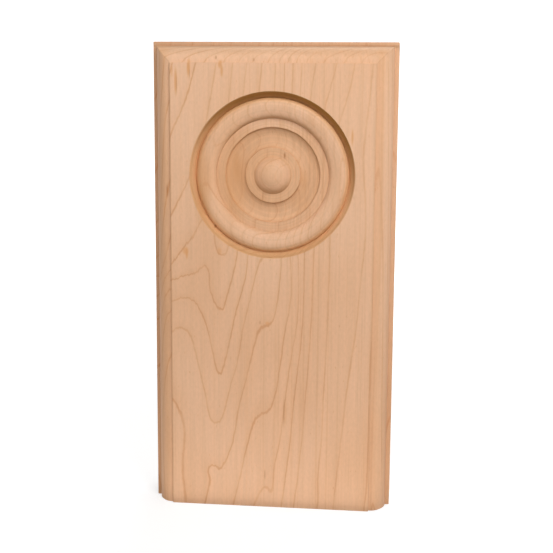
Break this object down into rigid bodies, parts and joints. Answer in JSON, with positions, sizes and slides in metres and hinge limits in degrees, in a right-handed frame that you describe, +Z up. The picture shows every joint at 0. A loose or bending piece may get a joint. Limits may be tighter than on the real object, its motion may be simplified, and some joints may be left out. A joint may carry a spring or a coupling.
{
  "type": "rosette plinth block",
  "caption": "Upright wooden plinth block with a moulded edge on both sides and the top, a square-cut foot and a turned bull's-eye rosette sunk into the upper face.",
  "frame": {"origin": "middle of the square-cut lower end, in width and in thickness", "axes": "+X to the right seen from the front, +Y from the face towards the wall, +Z up the grain towards the moulded top"},
  "size_m": [0.0952, 0.0286, 0.1841],
  "materials": {
    "maple": "bare sanded hard maple, unfinished, pale tan with fine brown growth lines"
  },
  "bodies": {
    "root": {"plinth_block": "maple"}
  },
  "joints": []
}
